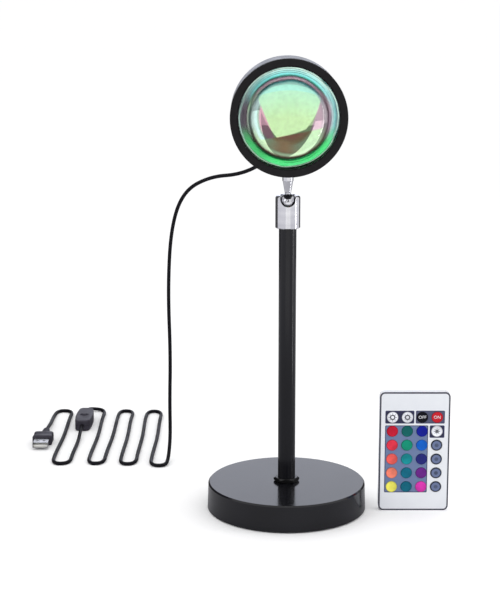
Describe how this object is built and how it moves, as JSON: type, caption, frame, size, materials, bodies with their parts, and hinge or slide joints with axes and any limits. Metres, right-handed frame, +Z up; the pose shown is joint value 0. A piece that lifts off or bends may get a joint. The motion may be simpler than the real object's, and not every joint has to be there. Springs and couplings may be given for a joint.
{
  "type": "sunset projection lamp",
  "caption": "Table lamp on a round weighted base: drum head with a domed lens on a chrome ball swivel, with its USB cord, inline switch and remote handset.",
  "frame": {"origin": "middle of the base pad's underside, on the surface that the lamp stands on", "axes": "+Z up along the pole, the lens looks along -Y, +X to the right seen from the front"},
  "size_m": [0.3106, 0.2995, 0.3122],
  "materials": {
    "black_paint": "semi-gloss black paint",
    "cast_weight": "as cast",
    "foam_pad": "foam rubber",
    "zinc_hardware": "zinc plated",
    "black_hardware": "black oxide",
    "chrome": "polished chrome",
    "spring_steel": "oiled spring steel",
    "nylon": "moulded nylon",
    "black_aluminium": "matt black coated",
    "lens_glass": "polished glass",
    "filter_glass": "thin-film coated glass",
    "black_plastic": "moulded black",
    "board_aluminium": "white solder mask",
    "board_green": "glass-epoxy board",
    "black_rubber": "moulded rubber",
    "cord_jacket": "soft matt jacket",
    "switch_plastic": "fine moulded texture",
    "plug_steel": "nickel plated steel",
    "white_plastic": "moulded white",
    "handset_white": "satin pale lavender white",
    "key_plastic": "moulded, coloured by key"
  },
  "bodies": {
    "base": {"base_shell": "black_paint", "base_weight": "cast_weight", "foot_pad": "foam_pad", "base_clamp_nut": "zinc_hardware", "pole_foot_nut": "black_hardware", "pole": "black_paint", "swivel_plug": "zinc_hardware"},
    "swivel": {"swivel_sleeve": "chrome", "swivel_spring": "spring_steel", "ball_seat": "nylon", "cord_lead": "cord_jacket", "switch_cover": "switch_plastic", "switch_base": "switch_plastic", "switch_core": "nylon", "cord_tail": "cord_jacket", "plug_body": "cord_jacket", "plug_shell": "plug_steel", "plug_tongue": "white_plastic"},
    "head": {"ball_stem": "chrome", "head_shell": "black_aluminium", "front_bezel": "black_aluminium", "lens": "lens_glass", "dichroic_filter": "filter_glass", "light_baffle": "black_plastic", "led_board": "board_aluminium", "board_screws": "zinc_hardware", "control_board": "board_green", "rear_cover": "black_aluminium", "rear_screws": "black_hardware", "cable_gland": "black_rubber"},
    "switch_button": {"switch_button": "switch_plastic"},
    "handset": {"handset_case": "handset_white", "handset_overlay": "handset_white", "handset_board": "board_green"},
    "battery_tray": {"battery_tray": "handset_white", "coin_battery": "plug_steel"},
    "handset_key_11": {"handset_key_11": "key_plastic"},
    "handset_key_12": {"handset_key_12": "key_plastic"},
    "handset_key_13": {"handset_key_13": "key_plastic"},
    "handset_key_14": {"handset_key_14": "key_plastic"},
    "handset_key_21": {"handset_key_21": "key_plastic"},
    "handset_key_22": {"handset_key_22": "key_plastic"},
    "handset_key_23": {"handset_key_23": "key_plastic"},
    "handset_key_24": {"handset_key_24": "key_plastic"},
    "handset_key_31": {"handset_key_31": "key_plastic"},
    "handset_key_32": {"handset_key_32": "key_plastic"},
    "handset_key_33": {"handset_key_33": "key_plastic"},
    "handset_key_34": {"handset_key_34": "key_plastic"},
    "handset_key_41": {"handset_key_41": "key_plastic"},
    "handset_key_42": {"handset_key_42": "key_plastic"},
    "handset_key_43": {"handset_key_43": "key_plastic"},
    "handset_key_44": {"handset_key_44": "key_plastic"},
    "handset_key_51": {"handset_key_51": "key_plastic"},
    "handset_key_52": {"handset_key_52": "key_plastic"},
    "handset_key_53": {"handset_key_53": "key_plastic"},
    "handset_key_54": {"handset_key_54": "key_plastic"},
    "handset_key_61": {"handset_key_61": "key_plastic"},
    "handset_key_62": {"handset_key_62": "key_plastic"},
    "handset_key_63": {"handset_key_63": "key_plastic"},
    "handset_key_64": {"handset_key_64": "key_plastic"}
  },
  "joints": [
    {"name": "head_pan", "type": "hinge", "parent": "base", "child": "swivel", "pos_m": [0, 0, 0.1977], "axis": [0, 0, 1], "range_deg": [-130, 130]},
    {"name": "head_tilt", "type": "hinge", "parent": "swivel", "child": "head", "pos_m": [0, 0, 0.2155], "axis": [1, 0, 0], "range_deg": [-25, 85], "deforming": ["cord_lead"]},
    {"name": "button_press", "type": "slide", "parent": "swivel", "child": "switch_button", "axis": [0, 0, -1], "range_m": [0, 0.0012], "stiffness_N_per_m": 250},
    {"name": "handset_lift", "type": "slide", "parent": "base", "child": "handset", "axis": [0, 0, 1], "range_m": [0, 0.12]},
    {"name": "battery_slide", "type": "slide", "parent": "handset", "child": "battery_tray", "axis": [0, 0, -1], "range_m": [0, 0.025]},
    {"name": "key_11_press", "type": "slide", "parent": "handset", "child": "handset_key_11", "axis": [0, 1, 0], "range_m": [0, 0.0005], "stiffness_N_per_m": 400},
    {"name": "key_12_press", "type": "slide", "parent": "handset", "child": "handset_key_12", "axis": [0, 1, 0], "range_m": [0, 0.0005], "stiffness_N_per_m": 400},
    {"name": "key_13_press", "type": "slide", "parent": "handset", "child": "handset_key_13", "axis": [0, 1, 0], "range_m": [0, 0.0005], "stiffness_N_per_m": 400},
    {"name": "key_14_press", "type": "slide", "parent": "handset", "child": "handset_key_14", "axis": [0, 1, 0], "range_m": [0, 0.0005], "stiffness_N_per_m": 400},
    {"name": "key_21_press", "type": "slide", "parent": "handset", "child": "handset_key_21", "axis": [0, 1, 0], "range_m": [0, 0.0005], "stiffness_N_per_m": 400},
    {"name": "key_22_press", "type": "slide", "parent": "handset", "child": "handset_key_22", "axis": [0, 1, 0], "range_m": [0, 0.0005], "stiffness_N_per_m": 400},
    {"name": "key_23_press", "type": "slide", "parent": "handset", "child": "handset_key_23", "axis": [0, 1, 0], "range_m": [0, 0.0005], "stiffness_N_per_m": 400},
    {"name": "key_24_press", "type": "slide", "parent": "handset", "child": "handset_key_24", "axis": [0, 1, 0], "range_m": [0, 0.0005], "stiffness_N_per_m": 400},
    {"name": "key_31_press", "type": "slide", "parent": "handset", "child": "handset_key_31", "axis": [0, 1, 0], "range_m": [0, 0.0005], "stiffness_N_per_m": 400},
    {"name": "key_32_press", "type": "slide", "parent": "handset", "child": "handset_key_32", "axis": [0, 1, 0], "range_m": [0, 0.0005], "stiffness_N_per_m": 400},
    {"name": "key_33_press", "type": "slide", "parent": "handset", "child": "handset_key_33", "axis": [0, 1, 0], "range_m": [0, 0.0005], "stiffness_N_per_m": 400},
    {"name": "key_34_press", "type": "slide", "parent": "handset", "child": "handset_key_34", "axis": [0, 1, 0], "range_m": [0, 0.0005], "stiffness_N_per_m": 400},
    {"name": "key_41_press", "type": "slide", "parent": "handset", "child": "handset_key_41", "axis": [0, 1, 0], "range_m": [0, 0.0005], "stiffness_N_per_m": 400},
    {"name": "key_42_press", "type": "slide", "parent": "handset", "child": "handset_key_42", "axis": [0, 1, 0], "range_m": [0, 0.0005], "stiffness_N_per_m": 400},
    {"name": "key_43_press", "type": "slide", "parent": "handset", "child": "handset_key_43", "axis": [0, 1, 0], "range_m": [0, 0.0005], "stiffness_N_per_m": 400},
    {"name": "key_44_press", "type": "slide", "parent": "handset", "child": "handset_key_44", "axis": [0, 1, 0], "range_m": [0, 0.0005], "stiffness_N_per_m": 400},
    {"name": "key_51_press", "type": "slide", "parent": "handset", "child": "handset_key_51", "axis": [0, 1, 0], "range_m": [0, 0.0005], "stiffness_N_per_m": 400},
    {"name": "key_52_press", "type": "slide", "parent": "handset", "child": "handset_key_52", "axis": [0, 1, 0], "range_m": [0, 0.0005], "stiffness_N_per_m": 400},
    {"name": "key_53_press", "type": "slide", "parent": "handset", "child": "handset_key_53", "axis": [0, 1, 0], "range_m": [0, 0.0005], "stiffness_N_per_m": 400},
    {"name": "key_54_press", "type": "slide", "parent": "handset", "child": "handset_key_54", "axis": [0, 1, 0], "range_m": [0, 0.0005], "stiffness_N_per_m": 400},
    {"name": "key_61_press", "type": "slide", "parent": "handset", "child": "handset_key_61", "axis": [0, 1, 0], "range_m": [0, 0.0005], "stiffness_N_per_m": 400},
    {"name": "key_62_press", "type": "slide", "parent": "handset", "child": "handset_key_62", "axis": [0, 1, 0], "range_m": [0, 0.0005], "stiffness_N_per_m": 400},
    {"name": "key_63_press", "type": "slide", "parent": "handset", "child": "handset_key_63", "axis": [0, 1, 0], "range_m": [0, 0.0005], "stiffness_N_per_m": 400},
    {"name": "key_64_press", "type": "slide", "parent": "handset", "child": "handset_key_64", "axis": [0, 1, 0], "range_m": [0, 0.0005], "stiffness_N_per_m": 400}
  ]
}
